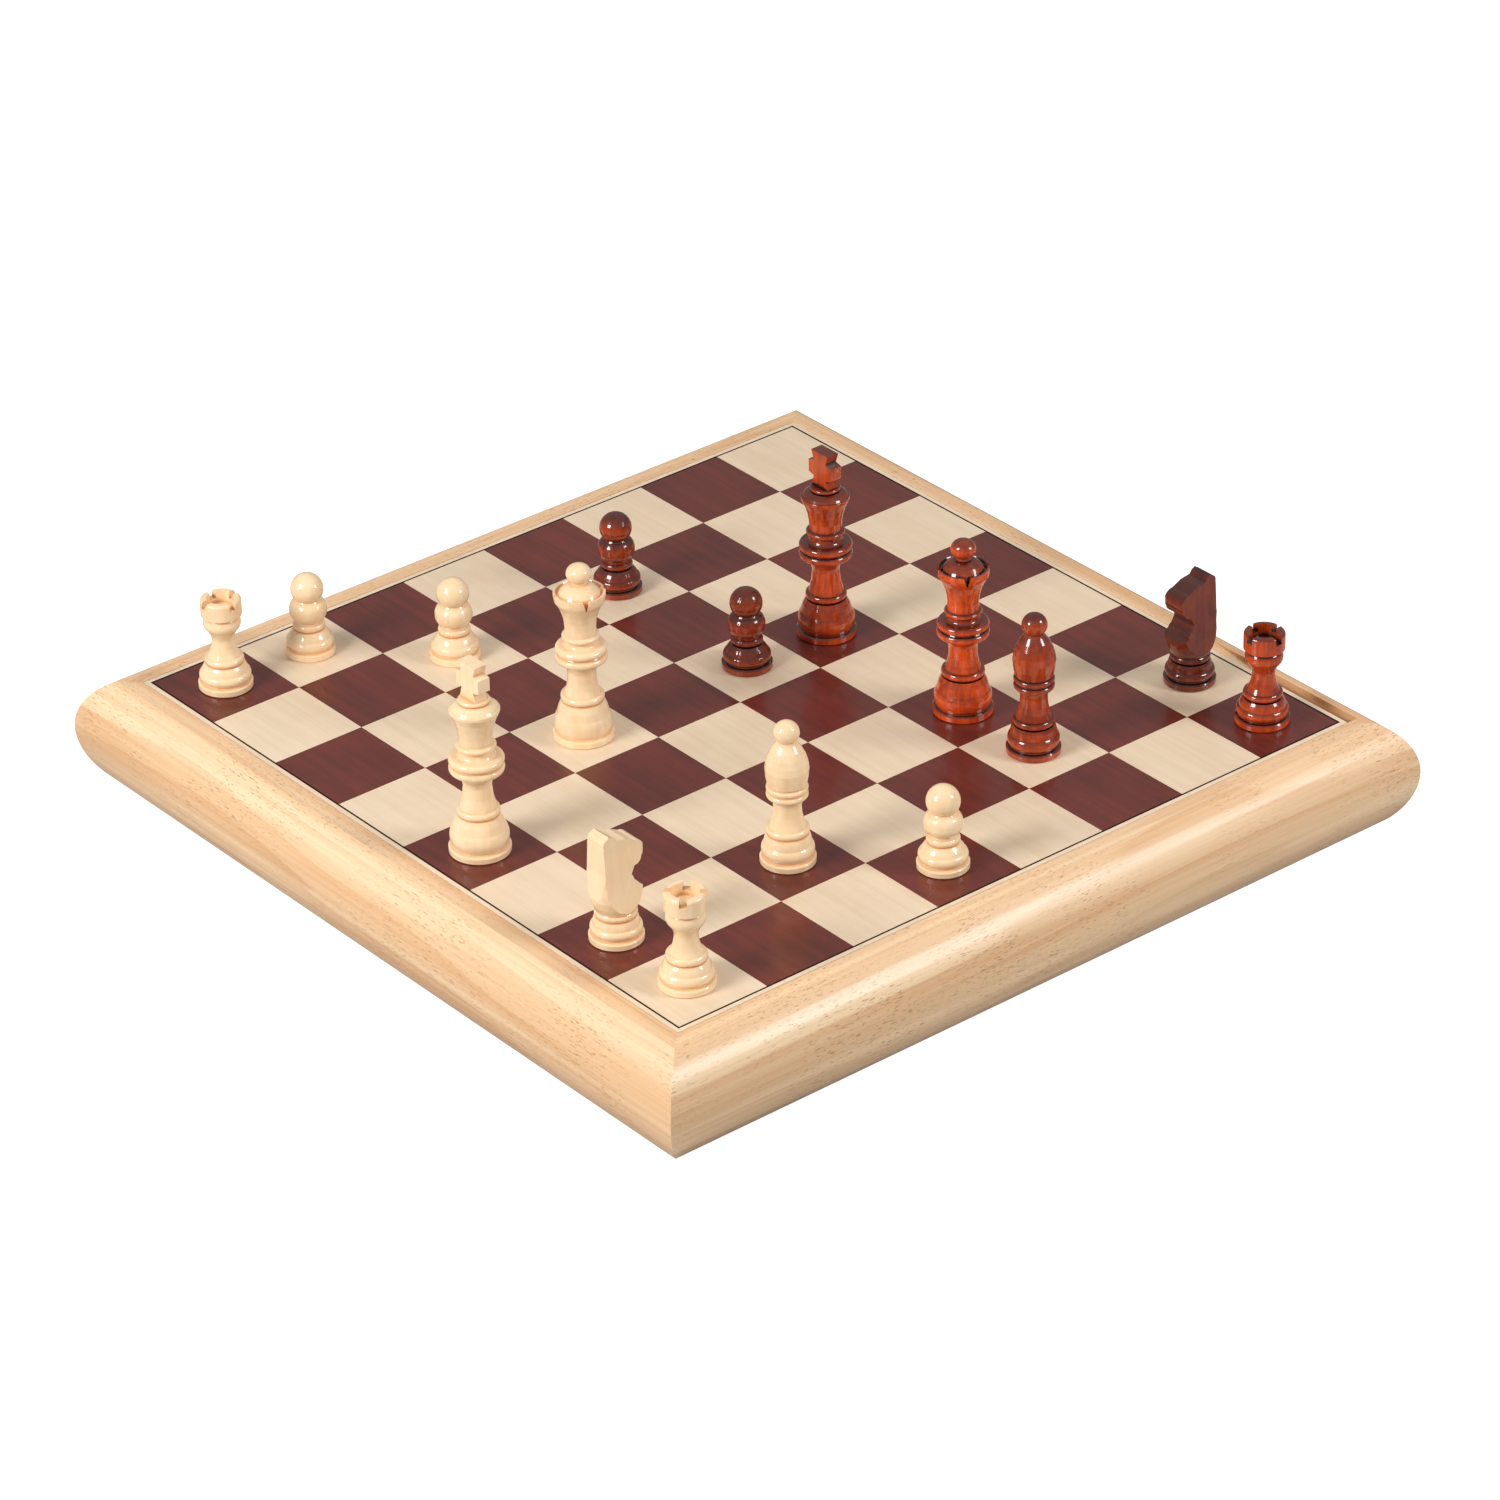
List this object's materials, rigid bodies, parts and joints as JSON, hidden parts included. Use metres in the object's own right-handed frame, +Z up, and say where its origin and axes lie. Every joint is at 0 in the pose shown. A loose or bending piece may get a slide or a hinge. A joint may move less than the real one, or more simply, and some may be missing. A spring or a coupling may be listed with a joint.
{
  "type": "games compendium box",
  "caption": "Square wooden games box with rounded rails, a flush reversible chess and draughts board with chessmen standing on it, and a red storage tray beneath.",
  "frame": {"origin": "middle of the face that the box rests on", "axes": "+Z up; front rail at -Y, back rail at +Y, left rail at -X, right rail at +X; a1 is the square at -X, -Y"},
  "size_m": [0.37, 0.37, 0.122],
  "materials": {
    "rail_wood": "clear satin lacquer",
    "panel_ply": "unfinished plywood",
    "tray_flock": "red flocked moulded sheet",
    "boxwood": "glossy lacquer",
    "rosewood": "glossy lacquer",
    "core_board": "fibreboard core",
    "veneer_maple": "satin lacquered veneer",
    "veneer_dark": "satin lacquered veneer",
    "line_black": "black inlay under lacquer"
  },
  "bodies": {
    "box": {"rail_front": "rail_wood", "rail_right": "rail_wood", "rail_back": "rail_wood", "rail_left": "rail_wood", "base_panel": "panel_ply", "storage_tray": "tray_flock", "stored_light_pawns": "boxwood", "stored_light_bishop": "boxwood", "stored_light_knight": "boxwood", "stored_dark_pawns": "rosewood", "stored_dark_rook": "rosewood", "stored_dark_knight": "rosewood", "stored_dark_bishop": "rosewood", "light_discs_left": "boxwood", "light_discs_right": "boxwood", "dark_discs_left": "rosewood", "dark_discs_right": "rosewood"},
    "board": {"board_core": "core_board", "chess_light_squares": "veneer_maple", "chess_dark_squares": "veneer_dark", "chess_line": "line_black", "chess_border": "veneer_maple", "draughts_light_squares": "veneer_maple", "draughts_dark_squares": "veneer_dark", "draughts_line": "line_black", "draughts_border": "veneer_maple"},
    "rook_a1": {"light_rook_a1": "boxwood"},
    "pawn_a2": {"light_pawn_a2": "boxwood"},
    "pawn_b3": {"light_pawn_b3": "boxwood"},
    "queen_d3": {"light_queen_d3": "boxwood"},
    "king_e1": {"light_king_e1": "boxwood"},
    "bishop_g3": {"light_bishop_g3": "boxwood"},
    "pawn_h4": {"light_pawn_h4": "boxwood"},
    "knight_g1": {"light_knight_g1": "boxwood"},
    "rook_h1": {"light_rook_h1": "boxwood"},
    "pawn_b5": {"dark_pawn_b5": "rosewood"},
    "pawn_d5": {"dark_pawn_d5": "rosewood"},
    "king_d6": {"dark_king_d6": "rosewood"},
    "queen_f6": {"dark_queen_f6": "rosewood"},
    "bishop_g6": {"dark_bishop_g6": "rosewood"},
    "knight_g8": {"dark_knight_g8": "rosewood"},
    "rook_h8": {"dark_rook_h8": "rosewood"}
  },
  "joints": [
    {"name": "board_lift", "type": "slide", "parent": "box", "child": "board", "axis": [0, 0, 1], "range_m": [0, 0.2]},
    {"name": "lift_rook_a1", "type": "slide", "parent": "board", "child": "rook_a1", "axis": [0, 0, 1], "range_m": [0, 0.1]},
    {"name": "lift_pawn_a2", "type": "slide", "parent": "board", "child": "pawn_a2", "axis": [0, 0, 1], "range_m": [0, 0.1]},
    {"name": "lift_pawn_b3", "type": "slide", "parent": "board", "child": "pawn_b3", "axis": [0, 0, 1], "range_m": [0, 0.1]},
    {"name": "lift_queen_d3", "type": "slide", "parent": "board", "child": "queen_d3", "axis": [0, 0, 1], "range_m": [0, 0.1]},
    {"name": "lift_king_e1", "type": "slide", "parent": "board", "child": "king_e1", "axis": [0, 0, 1], "range_m": [0, 0.1]},
    {"name": "lift_bishop_g3", "type": "slide", "parent": "board", "child": "bishop_g3", "axis": [0, 0, 1], "range_m": [0, 0.1]},
    {"name": "lift_pawn_h4", "type": "slide", "parent": "board", "child": "pawn_h4", "axis": [0, 0, 1], "range_m": [0, 0.1]},
    {"name": "lift_knight_g1", "type": "slide", "parent": "board", "child": "knight_g1", "axis": [0, 0, 1], "range_m": [0, 0.1]},
    {"name": "lift_rook_h1", "type": "slide", "parent": "board", "child": "rook_h1", "axis": [0, 0, 1], "range_m": [0, 0.1]},
    {"name": "lift_pawn_b5", "type": "slide", "parent": "board", "child": "pawn_b5", "axis": [0, 0, 1], "range_m": [0, 0.1]},
    {"name": "lift_pawn_d5", "type": "slide", "parent": "board", "child": "pawn_d5", "axis": [0, 0, 1], "range_m": [0, 0.1]},
    {"name": "lift_king_d6", "type": "slide", "parent": "board", "child": "king_d6", "axis": [0, 0, 1], "range_m": [0, 0.1]},
    {"name": "lift_queen_f6", "type": "slide", "parent": "board", "child": "queen_f6", "axis": [0, 0, 1], "range_m": [0, 0.1]},
    {"name": "lift_bishop_g6", "type": "slide", "parent": "board", "child": "bishop_g6", "axis": [0, 0, 1], "range_m": [0, 0.1]},
    {"name": "lift_knight_g8", "type": "slide", "parent": "board", "child": "knight_g8", "axis": [0, 0, 1], "range_m": [0, 0.1]},
    {"name": "lift_rook_h8", "type": "slide", "parent": "board", "child": "rook_h8", "axis": [0, 0, 1], "range_m": [0, 0.1]}
  ]
}
